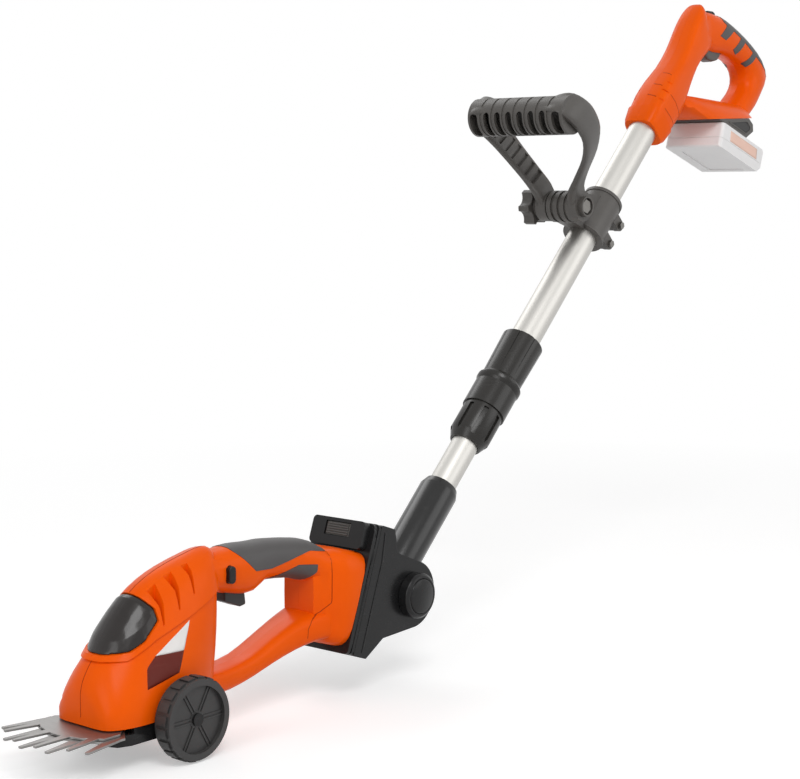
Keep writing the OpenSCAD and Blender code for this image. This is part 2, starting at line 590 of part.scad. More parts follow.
// Upright plate of the adapter with rounded corners, between two depths
module plate(a, b, wide, low, high, inset) translate([a, 0, 0]) rotate([90, 0, 90]) linear_extrude(b - a)
  offset(r = soft_r) offset(delta = -soft_r - inset) translate([-wide, low]) square([wide * 2,
    high - low]);
rim_in = soft_r * 0.28;
module adapter_front() color("black") dock() difference() {
  union() {
    plate(move_gap, front_t * 0.42, dock_w / 2, -adapter_low, adapter_top - soft_r, 0);
    plate(move_gap * 2, front_t, dock_w / 2, -adapter_low, adapter_top, rim_in);
    plate(front_t * 0.64, front_t, dock_w / 2, -adapter_low, adapter_top, rim_in * 0.2);
    plate(-hook_t, front_t * 0.5, hook_w, hook_low, adapter_top - rim_in, 0);
    tongue(0, dock_h * 0.8);
  }
  block([-hook_t - over, -button_w - move_gap, button_low - move_gap],
    [-hook_t * 0.25, button_w + move_gap, button_top + move_gap]);
}
module release_button() color("dimgray") dock() {
  block([-hook_t * 0.8, -button_w, button_low], [-hook_t * 0.55, button_w, button_top]);
  for (i = [0 : 4]) let(z = mix(button_low, button_top, 0.1 + i * 0.18))
    block([-hook_t, -button_w * 0.86, z], [-hook_t * 0.7, button_w * 0.86,
      z + (button_top - button_low) * 0.08]);
}
module cheek_side() {
  slab_soft([[front_t + seat_gap, -adapter_low], [adapter_t, -adapter_low], [adapter_t * 1.65,
    dock_low], [pivot_n + cheek_r * 0.34, pivot_u - cheek_r * 0.94],
    [pivot_n, pivot_u], [pivot_n, pivot_u + cheek_r], [adapter_t * 1.46, pivot_u + cheek_r * 1.05],
      [adapter_t * 1.04, adapter_top], [front_t + seat_gap, adapter_top]],
    -dock_w / 2, dock_w / 2);
  translate([pivot_n, 0, pivot_u]) rod_y(cheek_r, -dock_w / 2, dock_w / 2);
}
module adapter_rear() color("black") dock() difference() {
  cheek_side();
  block([adapter_t * 1.1, -dock_w / 2 + cheek_t, -big], [big, dock_w / 2 - cheek_t, big]);
  translate([pivot_n, 0, pivot_u]) rod_y(bolt_r + seat_gap / 2, -dock_w, dock_w);
}
module pivot_bolt() color("silver") dock() translate([pivot_n, 0, pivot_u]) rod_y(bolt_r,
  -dock_w / 2 + seat_gap, dock_w / 2 - seat_gap);
module pivot_ring() {
  difference() {
    union() {
      rod_y(ring_r, dock_w / 2 + seat_gap, dock_w / 2 + ring_h * 0.8);
      translate([0, dock_w / 2 + ring_h * 0.8, 0]) rotate([-90, 0, 0]) cylinder(r1 = ring_r,
        r2 = ring_r * 0.88, h = ring_h * 0.2);
    }
    rod_y(pivot_button_r + run_gap, dock_w / 2 - over, dock_w);
  }
}
module pivot_rings() color("black") dock() translate([pivot_n, 0, pivot_u]) {
  pivot_ring();
  mirror([0, 1, 0]) pivot_ring();
}
module pivot_button() {
  rod_y(pivot_button_r, dock_w / 2 + ring_h * 0.45, dock_w / 2 + ring_h);
  translate([0, dock_w / 2 + ring_h, 0]) rotate([-90, 0, 0]) cylinder(r1 = pivot_button_r,
    r2 = pivot_button_r * 0.9, h = ring_h * 0.08);
}
module pivot_button_right() color("black") dock() translate([pivot_n, 0, pivot_u]) pivot_button();
module pivot_button_left() color("black") dock() translate([pivot_n, 0, pivot_u]) mirror([0, 1, 0])
  pivot_button();

barrel_w = fork_w / 2;
tube_at = socket_len * 0.28;
module pole_socket() color("black") pole() difference() {
  union() {
    rod_y(socket_r * 1.13, -barrel_w, barrel_w);
    rod_x(socket_r, 0, socket_len * 0.94);
    cone_x(socket_r, socket_r * 0.86, socket_len * 0.94, socket_len);
  }
  rod_y(bolt_r + run_gap, -dock_w, dock_w);
  rod_x(low_r + seat_gap / 2, tube_at, socket_len + over);
  rotate([180, 0, 0]) translate([socket_len * 0.7, 0, socket_r * 0.5]) rod_z(screw_r * 1.6, 0, socket_r);
}
module lower_tube() color("silver") pole() difference() {
  rod_x(low_r, tube_at, low_end);
  rod_x(low_r - tube_wall, tube_at - over, low_end + over);
}
module glide_plug() color("black") pole() {
  rod_x(low_r - tube_wall - seat_gap / 2, low_end - low_r, low_end + seat_gap);
  rod_x(up_r - tube_wall - run_gap, low_end + seat_gap, low_end + low_r);
}
module socket_screw() color("silver") pole() rotate([180, 0, 0]) translate([socket_len * 0.7, 0, 0])
  difference() {
  rod_z(screw_r * 1.5, low_r + seat_gap * 2, socket_r - seat_gap * 4);
  block([-screw_r, -screw_r * 0.2, socket_r - screw_r * 0.8], [screw_r, screw_r * 0.2, socket_r + over]);
}
module upper_tube() color("silver") pole() difference() {
  rod_x(up_r, sleeve_at + tube_wall * 2, tube_end);
  rod_x(up_r - tube_wall, sleeve_at - over, column_at + column_len);
}
nose_at = sleeve_at - nut_len * 0.42;
module lock_sleeve() color("black") pole() difference() {
  union() {
    rod_x(nose_r, nose_at, sleeve_at + over);
    cone_x(nut_r * 0.96, nut_r * 1.05, sleeve_at, sleeve_at + sleeve_len * 0.06);
    rod_x(nut_r * 1.05, sleeve_at + sleeve_len * 0.06, sleeve_at + sleeve_len * 0.12);
    cone_x(nut_r * 1.05, nut_r * 0.93, sleeve_at + sleeve_len * 0.12, sleeve_at + sleeve_len * 0.18);
    cone_x(nut_r * 0.92, nut_r * 0.98, sleeve_at + sleeve_len * 0.17, sleeve_at + sleeve_len);
  }
  rod_x(bush_r + seat_gap / 2, 0, sleeve_at + tube_wall * 2);
  rod_x(up_r + seat_gap / 2, sleeve_at + tube_wall * 2 - seat_gap, column_at);
  for (i = [0 : 7]) rotate([i * 45 + 22, 0, 0]) block([sleeve_at + sleeve_len * 0.22, -tube_wall * 0.2,
    nut_r * 0.92], [sleeve_at + sleeve_len + over, tube_wall * 0.2, nut_r * 2]);
}
module tube_bush() color("white") pole() difference() {
  rod_x(bush_r, nose_at + seat_gap, sleeve_at + tube_wall * 2 - seat_gap);
  rod_x(low_r + run_gap, 0, column_at);
}
module lock_nut() color("black") pole() difference() {
  union() {
    cone_x(nut_r * 0.72, nut_r * 0.93, nut_at, nut_at + nut_len * 0.15);
    rod_x(nut_r * 0.93, nut_at + nut_len * 0.15, nut_at + nut_len * 0.6);
    rod_x(nut_r, nut_at + nut_len * 0.59, nut_at + nut_len);
  }
  rod_x(low_r + move_gap, 0, nut_at + nut_len * 2);
  rod_x(nose_r + run_gap, nose_at - move_gap, nut_at + nut_len * 2);
  for (i = [0 : 7]) rotate([i * 45, 0, 0]) block([nut_at + nut_len * 0.06, -nut_r * 0.11,
    nut_r * 0.84], [nut_at + nut_len * 0.54, nut_r * 0.11, nut_r * 2]);
}

jaw_w = clamp_r * 0.5;
jaw_z = -up_r * 0.7;
ear_r = clamp_r * 0.3;
ear_z = -clamp_r * 1.15;
ear_out = jaw_w + ear_r;
ear_spots = [-clamp_len * 0.25, clamp_len * 0.25];
module clamp_band() {
  rod_x(clamp_r, clamp_at - clamp_len / 2, clamp_at + clamp_len / 2);
  rod_x(clamp_r * 1.08, clamp_at - clamp_len / 2, clamp_at - clamp_len * 0.42);
  rod_x(clamp_r * 1.04, clamp_at + clamp_len * 0.43, clamp_at + clamp_len / 2);
}
module ear(r, a, b) for (d = ear_spots) translate([clamp_at + d, 0, 0]) {
  translate([0, 0, ear_z]) rod_y(r, a, b);
  block([-r, a, ear_z], [r, b, jaw_z]);
}
module ear_holes() for (d = ear_spots) translate([clamp_at + d, 0, ear_z])
  rod_y(screw_r + seat_gap / 2, -big, big);
hinge_w = barrel_r * 0.8;
module hinge_barrel() {
  rod_y(barrel_r * 0.94, -hinge_w, hinge_w);
  for (i = [-1 : 1]) rod_y(barrel_r * 1.05, i * hinge_w * 0.66 - hinge_w * 0.2,
    i * hinge_w * 0.66 + hinge_w * 0.2);
}
module clamp_front() color("dimgray") pole() difference() {
  union() {
    clamp_band();
    ear(ear_r, -ear_out, ear_out);
    slab([[clamp_at - clamp_len / 2, clamp_r * 0.6], [clamp_at + clamp_len * 0.4, clamp_r * 0.6],
      [hinge_at + barrel_r * 0.8, hinge_up + barrel_r * 0.5],
      [hinge_at - barrel_r * 0.9, hinge_up - barrel_r * 0.3]], -hinge_w * 0.85, hinge_w * 0.85);
    translate([hinge_at, 0, hinge_up]) hinge_barrel();
  }
  rod_x(up_r + seat_gap / 2, 0, column_at);
  block([0, -jaw_w, -big], [column_at, jaw_w, jaw_z]);
  translate([hinge_at, 0, hinge_up]) rod_y(hinge_r + run_gap, -loop_w, loop_w);
  ear_holes();
}
module clamp_rear() color("dimgray") pole() difference() {
  union() {
    intersection() {
      clamp_band();
      block([0, -jaw_w + seat_gap, -big], [big, jaw_w - seat_gap, jaw_z - seat_gap]);
    }
    ear(ear_r * 0.9, -jaw_w + seat_gap, jaw_w - seat_gap);
  }
  rod_x(up_r + seat_gap / 2, 0, column_at);
  ear_holes();
}
module clamp_screws() color("silver") pole() for (d = ear_spots) translate([clamp_at + d, 0, ear_z]) {
  rod_y(screw_r, -ear_out - screw_r, ear_out + screw_r * 2);
  for (s = [0, 1]) mirror([0, s, 0]) translate([0, ear_out + seat_gap, 0]) rotate([-90, 0, 0])
    cylinder(r = screw_r * 1.9, h = screw_r * 1.6, $fn = 6);
}
leg_in = hinge_w + move_gap;
leg_out = barrel_r * 1.62;
boss_out = leg_out + barrel_r * 0.33;
loop_rows_share = [[0.3, 0, 0.3, 0.5, 0], [0.31, 0.15, 0.29, 0.48, 0.1], [0.46, 0.29, 0.22, 0.47, 0.3],
  [0.7, 0.48, 0.2, 0.5, 0.55], [0.86, 0.68, 0.2, 0.56, 0.62], [0.92, 0.87, 0.22, 0.61, 0.44],
  [0.92, 1, 0.24, 0.62, 0.22], [0.83, 1.1, 0.26, 0.58, 0.06], [0.66, 1.125, 0.2, 0.48, 0], [0.45, 1.1,
    0.14, 0.36, 0]];
loop_rows = fine(loop_rows_share, 3);
// Band of the loop handle: an oblong section carried along one leg, round the corner and into the bar
function loop_ring(i, s) = let(a = row(loop_rows, i - 1), b = row(loop_rows, i + 1), p = loop_rows[i],
  t = [(b[0] - a[0]) * loop_w / 2, (b[1] - a[1]) * loop_len], n = [t[1], -t[0]] / norm(t))
  [for (j = [0 : 23]) let(g = s * 360 * j / 24, d = (spow(cos(g), 0.6) * p[3] + p[4]) * leg_d,
    c = spow(sin(g), 0.6) * p[2] * bar_r)
    [d, s * (p[0] * loop_w / 2 + n[0] * c), p[1] * loop_len + n[1] * c]];
module loop_band(s) loft([for (i = [0 : len(loop_rows) - 1]) loop_ring(i, s)]);
leg_path = [for (i = [0 : 6]) [loop_rows_share[i][1], loop_rows_share[i][0]]];
leg_bow = [for (i = [0 : 6]) [loop_rows_share[i][1], loop_rows_share[i][4]]];
module leg_pockets() {
  for (i = [0 : 6]) let(t = mix(0.27, 0.74, i / 6), y = lookup(t, leg_path) * loop_w / 2 - bar_r * 0.2)
    translate([lookup(t, leg_bow) * leg_d, y, t * loop_len])
      block([-leg_d * 0.36, -bar_r * 0.3, 0], [leg_d * 0.36, bar_r * 0.14, bar_r * 0.24]);
}
bar_step = loop_w * 0.105;
module loop_bar() difference() {
  rod_y(bar_r, -loop_w * 0.44, loop_w * 0.44);
  for (i = [-3 : 3]) difference() {
    rod_y(bar_r + over, i * bar_step - bar_step * 0.1, i * bar_step + bar_step * 0.1);
    rod_y(bar_r * 0.96, i * bar_step - bar_step * 0.2, i * bar_step + bar_step * 0.2);
  }
}
module bar_slot(y, w, h) rotate([0, 97, 0]) translate([0, y, 0]) {
  block([-h, -w, -bar_r * 2], [h, w, 0]);
  for (s = [-1, 1]) translate([s * h, 0, 0]) rod_z(w, -bar_r * 2, 0);
}
module loop_handle() color("dimgray") loop_at() difference() {
  union() {
    for (s = [-1, 1]) {
      loop_band(s);
      rod_y(barrel_r, s > 0 ? leg_in : -leg_out, s > 0 ? leg_out : -leg_in);
    }
    rod_y(barrel_r * 0.68, -boss_out, -leg_in);
    translate([0, 0, loop_len]) loop_bar();
  }
  translate([0, 0, loop_len]) {
    rod_y(bar_r * 0.8, -loop_w * 0.38, loop_w * 0.38);
    for (i = [-2.5 : 1 : 2.5]) bar_slot(i * bar_step, bar_step * 0.26, bar_r * 0.5);
    for (s = [-1, 1]) bar_slot(s * loop_w * 0.385, bar_step * 0.34, bar_r * 0.42);
  }
  for (s = [0, 1]) mirror([0, s, 0]) leg_pockets();
  rod_y(hinge_r + seat_gap / 2, -loop_w, loop_w);
  rod_y(hinge_r * 2.1, -boss_out - over, -boss_out + hinge_r * 1.5);
}
module hinge_bolt() color("silver") loop_at() {
  rod_y(hinge_r, -boss_out + hinge_r, leg_out + star_h * 0.7);
  translate([0, -boss_out + hinge_r * 0.3, 0]) rotate([-90, 0, 0]) cylinder(r = hinge_r * 1.85,
    h = hinge_r, $fn = 6);
}
module star_knob() color("dimgray") loop_at() difference() {
  union() {
    rod_y(star_r * 0.55, leg_out + move_gap, leg_out + star_h * 0.5);
    rod_y(star_r, leg_out + star_h * 0.3, leg_out + star_h);
  }
  for (i = [0 : 5]) rotate([0, i * 60, 0]) translate([star_r * 1.18, 0, 0])
    rod_y(star_r * 0.45, leg_out + star_h * 0.2, leg_out + star_h + over);
  rod_y(hinge_r + run_gap, leg_out - over, leg_out + star_h * 0.7 + move_gap);
}

column_share = [[0, 0, 0.85, 0.77, 0.79], [0.035, 0.035, 0.97, 0.84, 0.88], [0.22, 0.22, 1.04, 1, 0.97],
  [0.37, 0.37, 1, 0.97, 0.92], [0.51, 0.51, 0.76, 0.83, 0.84], [0.66, 0.66, 0.56, 0.86, 0.8],
  [0.77, 0.77, 0.62, 1.03, 0.79], [0.84, 0.88, 0.76, 1.2, 0.78], [0.9, 0.97, 0.78, 1.27, 0.72],
  [0.93, 1.03, 0.7, 1.24, 0.56], [0.94, 1.05, 0.58, 1.12, 0.36]];
function column_ring(s, n) = ring([column_at + s[0] * column_len, -s[2] * column_r],
  [column_at + s[1] * column_len, s[3] * column_r], s[4] * column_r, n, 32);
collar_share = [[0, 0, 0.9, 0.79, 0.81], [0.03, 0.03, 1.02, 0.87, 0.91], [0.115, 0.115, 1.07, 0.97, 1],
  [0.125, 0.125, 0.97, 0.89, 0.92]];
module column_form() pole_raw() difference() {
  union() {
    loft([for (s = fine(column_share, 2)) column_ring(s, 4)]);
    loft([for (s = collar_share) column_ring(s, 4)]);
  }
  for (i = [0 : 4]) for (s = [-1, 1]) let(a = column_at + column_len * (0.18 + i * 0.075))
    rotate([s * 45, 0, 0])
    block([a, -column_r, column_r * 1.1], [a + column_len * 0.008, column_r, column_r * 2]);
}
module rear_grip_form(grow) loft([for (s = fine(rear_rows_share, 2)) let(b = [rear_x(s[0]),
  rear_z(s[1])], t = [rear_x(s[2]), rear_z(s[3])],
  d = (t - b) / norm(t - b) * grow) ring(b - d, t + d, s[4] * rear_w / 2 + grow, 2.5, 24)]);
module foot_form() loft([for (s = fine(foot_rows_share, 2)) [for (j = [0 : 23]) let(a = 360 * j / 24,
  h = 0.5 + 0.5 * spow(sin(a), 0.5))
  [mix(rear_x(s[0]), rear_x(s[2]), h), s[4] * rear_w / 2 * spow(cos(a), 0.5), mix(rear_z(s[1]),
    rear_z(s[3]), h)]]]);
module rear_form() {
  column_form();
  rear_grip_form(0);
  foot_form();
}
rear_trigger_x = rear_x(0.115);
rear_trigger_l = loop_back * 0.225;
rear_trigger_w = rear_w * 0.44;
rear_top = rear_z(0.575);
module rear_trigger_cut() block([rear_trigger_x - move_gap, -rear_trigger_w / 2 - move_gap, rear_z(0.2)],
  [rear_trigger_x + rear_trigger_l + move_gap, rear_trigger_w / 2 + move_gap,
    rear_top + rear_travel + move_gap]);
rear_lock_x = rear_x(0.178);
rear_lock_l = loop_back * 0.1;
rear_lock_w = rear_w * 0.28;
rear_lock_low = rear_z(0.84);
module rear_lock_cut() block([rear_lock_x - move_gap, -rear_lock_w / 2 - move_gap,
  rear_lock_low - rear_travel], [rear_lock_x + rear_lock_l + move_gap, rear_lock_w / 2 + move_gap,
  rear_z(1.3)]);
rear_spots = [[rear_x(-0.06), rear_z(0.52)], [rear_x(-0.25), rear_z(0.2)], [rear_x(0.63), rear_z(0.56)],
  [rear_x(0.7), rear_z(0.03)], [rear_x(0.1), rear_z(-0.06)]];
rear_screw_y = rear_w * 0.24;
module rear_handle(side) difference() {
  half(side) rear_form();
  pole_raw() rod_x(up_r + seat_gap / 2, 0, tube_end + seat_gap);
  slab_wide(rear_pts(insert_share), rear_w, seat_gap);
  rear_trigger_cut();
  rear_lock_cut();
  if (side > 0) for (p = rear_spots) translate([p[0], 0, p[1]]) rod_y(screw_r * 1.6, rear_screw_y,
    rear_w * 2);
}
module rear_handle_left() color("orangered") at_frame() rear_handle(-1);
module rear_handle_right() color("orangered") at_frame() rear_handle(1);
module grip_insert() color("dimgray") at_frame() intersection() {
  rear_grip_form(seat_gap * 4);
  slab_wide(rear_pts(insert_share), rear_w, 0);
}
trigger_share = [[0, 0.485], [0.2, 0.445], [0.5, 0.425], [0.8, 0.445], [1, 0.5]];
module rear_trigger() color("dimgray") at_frame() slab(concat([[rear_trigger_x, rear_top]],
  [for (p = trigger_share) [rear_trigger_x + p[0] * rear_trigger_l, rear_z(p[1])]],
  [[rear_trigger_x + rear_trigger_l, rear_top]]), -rear_trigger_w / 2, rear_trigger_w / 2);
module rear_lock_off() color("black") at_frame() slab([[rear_lock_x, rear_lock_low],
  [rear_lock_x + rear_lock_l, rear_lock_low], [rear_lock_x + rear_lock_l, rear_z(0.955)],
  [rear_lock_x + rear_lock_l * 0.7, rear_z(0.975)], [rear_lock_x, rear_z(0.975)]], -rear_lock_w / 2,
    rear_lock_w / 2);
module handle_screws() color("silver") at_frame() for (p = rear_spots) translate([p[0], 0, p[1]])
  difference() {
  rod_y(screw_r * 1.5, rear_screw_y, rear_screw_y + screw_r);
  block([-screw_r, rear_screw_y + screw_r * 0.6, -screw_r * 0.2], [screw_r,
    rear_screw_y + screw_r + over, screw_r * 0.2]);
}

rail_l = pack_len * 0.57;
rib_t = pack_d * 0.08;
rib_w = pack_w * 0.27;
rib_in = pack_w * 0.2;
rib_from = pack_len * 0.13;
module pack_rib(grow, a, b) {
  block([a, -rib_w - grow, rib_t - grow], [b, rib_w + grow, rib_t * 2 + grow]);
  block([a, -rib_in - grow, -pack_d * 0.14], [b, rib_in + grow, rib_t * 1.5]);
}
module battery_rail() color("dimgray") at_frame() difference() {
  slab([[rear_x(0.055), foot_z(0.055)], [rear_x(0.48), foot_z(0.48)], [rear_x(0.54), foot_z(0.48)
    - pack_d * 0.23],
    [rear_x(0.545), foot_z(0.48) - pack_d * 0.52],
    [pack_x + rail_l * cos(pack_lean), pack_z - rail_l * sin(pack_lean)],
    [pack_x - rib_t * cos(pack_lean), pack_z + rib_t * sin(pack_lean)]], -pack_w * 0.47, pack_w * 0.47);
  pack_raw() pack_rib(move_gap, rib_from - move_gap, pack_len * 2);
}
module pack_side(a, b) intersection() {
  slab([[0, -move_gap], [pack_len * 0.94, -move_gap], [pack_len, -pack_d * 0.14], [pack_len,
    -pack_d * 0.7], [pack_len * 0.9, -pack_d], [pack_d * 0.05, -pack_d], [0, -pack_d * 0.94]],
    -pack_w / 2, pack_w / 2);
  translate([0, 0, a]) linear_extrude(b - a) offset(r = soft_r) offset(delta = -soft_r) translate([0,
    -pack_w / 2]) square([pack_len, pack_w]);
}
pack_split = -pack_d * 0.62;
pack_button_w = pack_w * 0.2;
module battery_case() color("lightgray") pack() difference() {
  union() {
    pack_side(pack_split + seat_gap / 2, 0);
    pack_rib(0, rib_from, pack_len * 0.6);
  }
  block([pack_len * 0.92, -pack_button_w - move_gap, -pack_d * 0.56 - move_gap], [pack_len + over,
    pack_button_w + move_gap, -pack_d * 0.2 + move_gap]);
}
module battery_base() color("lightgray") pack() difference() {
  pack_side(-pack_d, pack_split - seat_gap / 2);
  block([pack_len * 0.16, -pack_w * 0.32, -pack_d - over], [pack_len * 0.84, pack_w * 0.32,
    -pack_d * 0.96]);
}
module battery_button() color("gray") pack() {
  block([pack_len * 0.95, -pack_button_w, -pack_d * 0.56], [pack_len * 1.0, pack_button_w,
    -pack_d * 0.2]);
  for (i = [0 : 2]) block([pack_len * 0.99, -pack_button_w * 0.8, -pack_d * (0.5 - i * 0.09)],
    [pack_len * 1.006, pack_button_w * 0.8, -pack_d * (0.46 - i * 0.09)]);
}

housing_left();
housing_right();
nose_window();
top_grip();
under_grip();
base_plate();
axle_bracket();
axle();
wheel_left();
wheel_right();
fixed_blade();
moving_blade();
blade_pin();
crank();
gearbox();
motor();
trigger();
lock_off();
housing_screws();
dock_contacts();
adapter_front();
adapter_rear();
release_button();
pivot_bolt();
pivot_rings();
pivot_button_left();
pivot_button_right();
pole_socket();
lower_tube();
glide_plug();
socket_screw();
upper_tube();
lock_sleeve();
tube_bush();
lock_nut();
clamp_front();
clamp_rear();
clamp_screws();
loop_handle();
hinge_bolt();
star_knob();
rear_handle_left();
rear_handle_right();
grip_insert();
rear_trigger();
rear_lock_off();
handle_screws();
battery_rail();
battery_case();
battery_base();
battery_button();
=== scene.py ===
import bpy
import bmesh
import json
import math
import numpy as np
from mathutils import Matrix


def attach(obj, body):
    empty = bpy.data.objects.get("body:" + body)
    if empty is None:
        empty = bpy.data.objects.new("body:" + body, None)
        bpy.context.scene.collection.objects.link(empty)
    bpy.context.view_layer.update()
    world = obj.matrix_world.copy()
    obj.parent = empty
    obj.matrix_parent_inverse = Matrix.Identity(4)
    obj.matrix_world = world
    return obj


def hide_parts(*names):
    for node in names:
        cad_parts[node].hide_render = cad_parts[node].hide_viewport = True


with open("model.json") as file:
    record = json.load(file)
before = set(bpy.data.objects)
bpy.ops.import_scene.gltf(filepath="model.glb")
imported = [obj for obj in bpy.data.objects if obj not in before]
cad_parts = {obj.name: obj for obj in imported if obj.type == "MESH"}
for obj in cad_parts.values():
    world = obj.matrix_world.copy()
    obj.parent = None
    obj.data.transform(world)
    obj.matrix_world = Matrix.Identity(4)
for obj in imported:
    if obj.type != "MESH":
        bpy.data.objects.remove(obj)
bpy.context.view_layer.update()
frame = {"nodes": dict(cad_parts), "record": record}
cad = frame["nodes"]
scene = bpy.context.scene
print("frame loaded:", len(cad), "nodes")

# camera fitted to the photograph; the shift carries the wheel axle's x to the frame's middle
shot = dict(shift=0.4085945, place=(-0.9191, -1.0354, 0.4323), yaw=49.77, pitch=6.213,
            focal=1791.2, wide=800, sensor=36)  # focal length and width in pixels, sensor in millimetres
camData = bpy.data.cameras.new("photoCamera")
camData.sensor_fit = "HORIZONTAL"
camData.sensor_width = shot["sensor"]
camData.lens = shot["sensor"] * shot["focal"] / shot["wide"]
camera = bpy.data.objects.new("photoCamera", camData)
scene.collection.objects.link(camera)
camera.location = (shot["place"][0] - shot["shift"], shot["place"][1], shot["place"][2])
camera.rotation_euler = (math.radians(90 - shot["pitch"]), 0, math.radians(-shot["yaw"]))
scene.camera = camera
print("camera set")


def newGroup(name, inputs, outputs):
    g = bpy.data.node_groups.new(name, "ShaderNodeTree")
    for label, value in inputs.items():
        kind = "NodeSocketFloat" if isinstance(value, float) else "NodeSocketVector"
        g.interface.new_socket(label, in_out="INPUT", socket_type=kind).default_value = value
    for label in outputs:
        g.interface.new_socket(label, in_out="OUTPUT", socket_type="NodeSocketFloat")
    return g, g.nodes.new("NodeGroupInput"), g.nodes.new("NodeGroupOutput")


def addNode(tree, kind, values=None, **props):
    n = tree.nodes.new(kind)
    for k, v in props.items():
        setattr(n, k, v)
    for k, v in (values or {}).items():
        n.inputs[k].default_value = v
    return n


# moulded grain: fine noise for the skin of a moulding, and a slow mottle for its tone
grainSet = dict(fine=2200.0, slow=18.0, fineDetail=3.0, slowDetail=4.0, rough=0.58)


def makeGrain():
    sizes = {"Fine": grainSet["fine"], "Slow": grainSet["slow"]}
    g, gi, go = newGroup("mouldedGrain", sizes, ["Height", "Tone"])
    co = addNode(g, "ShaderNodeTexCoord")
    for scale, out, detail in (("Fine", "Height", "fineDetail"), ("Slow", "Tone", "slowDetail")):
        n = addNode(g, "ShaderNodeTexNoise", {"Detail": grainSet[detail], "Roughness": grainSet["rough"]})
        g.links.new(co.outputs["Object"], n.inputs["Vector"])
        g.links.new(gi.outputs[scale], n.inputs["Scale"])
        g.links.new(n.outputs["Fac"], go.inputs[out])
    return g


# handling marks: noise drawn out in one direction and cut at a level, for rubs from hands and grass
markSet = dict(scale=(60, 60, 240), turn=(0.4, 0.7, 0.2), detail=6.0, rough=0.7, start=0.56, full=0.8)


def makeMarks():
    g, gi, go = newGroup("handlingMarks", {"Amount": 0.3}, ["Mask"])
    co = addNode(g, "ShaderNodeTexCoord")
    turn = addNode(g, "ShaderNodeMapping", {"Scale": markSet["scale"], "Rotation": markSet["turn"]})
    n = addNode(g, "ShaderNodeTexNoise",
                {"Scale": 1.0, "Detail": markSet["detail"], "Roughness": markSet["rough"]})
    cut = addNode(g, "ShaderNodeMapRange", {"From Min": markSet["start"], "From Max": markSet["full"]})
    mul = addNode(g, "ShaderNodeMath", operation="MULTIPLY")
    g.links.new(co.outputs["Object"], turn.inputs["Vector"])
    g.links.new(turn.outputs["Vector"], n.inputs["Vector"])
    g.links.new(n.outputs["Fac"], cut.inputs["Value"])
    g.links.new(cut.outputs["Result"], mul.inputs[0])
    g.links.new(gi.outputs["Amount"], mul.inputs[1])
    g.links.new(mul.outputs["Value"], go.inputs["Mask"])
    return g


# drawn lines: noise whose grains have a length in metres along each turned axis, for ground and drawn metal
drawnSet = dict(grain=(0.001, 0.001, 0.001), turn=(0.0, 0.0, 0.0), detail=3.0, rough=0.6)


def makeDrawn():
    g, gi, go = newGroup("drawnLines", {"Grain": drawnSet["grain"], "Turn": drawnSet["turn"]}, ["Height"])
    co = addNode(g, "ShaderNodeTexCoord")
    turn = addNode(g, "ShaderNodeMapping", vector_type="TEXTURE")  # turns first, then divides by the grain
    n = addNode(g, "ShaderNodeTexNoise",
                {"Scale": 1.0, "Detail": drawnSet["detail"], "Roughness": drawnSet["rough"]})
    g.links.new(co.outputs["Object"], turn.inputs["Vector"])
    g.links.new(gi.outputs["Grain"], turn.inputs["Scale"])
    g.links.new(gi.outputs["Turn"], turn.inputs["Rotation"])
    g.links.new(turn.outputs["Vector"], n.inputs["Vector"])
    g.links.new(n.outputs["Fac"], go.inputs["Height"])
    return g


# settled dust: upward-facing skin, broken up by a mottle, as a mask
dustSet = dict(start=0.1, full=1.0, scale=70.0, detail=5.0, rough=0.65, tone=(0.42, 0.40, 0.37))


def makeDust():
    g, gi, go = newGroup("settledDust", {"Amount": 0.2}, ["Mask"])
    co = addNode(g, "ShaderNodeTexCoord")
    geo = addNode(g, "ShaderNodeNewGeometry")
    axes = addNode(g, "ShaderNodeSeparateXYZ")
    up = addNode(g, "ShaderNodeMapRange", {"From Min": dustSet["start"], "From Max": dustSet["full"]})
    n = addNode(g, "ShaderNodeTexNoise",
                {"Scale": dustSet["scale"], "Detail": dustSet["detail"], "Roughness": dustSet["rough"]})
    both = addNode(g, "ShaderNodeMath", operation="MULTIPLY")
    mul = addNode(g, "ShaderNodeMath", operation="MULTIPLY")
    g.links.new(geo.outputs["Normal"], axes.inputs["Vector"])
    g.links.new(axes.outputs["Z"], up.inputs["Value"])
    g.links.new(co.outputs["Object"], n.inputs["Vector"])
    g.links.new(up.outputs["Result"], both.inputs[0])
    g.links.new(n.outputs["Fac"], both.inputs[1])
    g.links.new(both.outputs["Value"], mul.inputs[0])
    g.links.new(gi.outputs["Amount"], mul.inputs[1])
    g.links.new(mul.outputs["Value"], go.inputs["Mask"])
    return g


grainGroup, marksGroup, drawnGroup, dustGroup = makeGrain(), makeMarks(), makeDrawn(), makeDust()


def place(tree, group, **values):
    n = tree.nodes.new("ShaderNodeGroup")
    n.node_tree = group
    for k, v in values.items():
        n.inputs[k].default_value = v
    return n


def mixTone(tree, a=None, b=None):
    n = addNode(tree, "ShaderNodeMix", data_type="RGBA")
    if a is not None:
        n.inputs["A"].default_value = (*a, 1)
    if b is not None:
        n.inputs["B"].default_value = (*b, 1)
    return n


# moulding: two tones mixed by the mottle, paler where rubbed or dusty, roughness raised by rubs,
# bump from the grain
mouldSet = dict(coatRough=0.08, toneStart=0.3, toneFull=0.7, rubRough=0.5, bump=0.6)


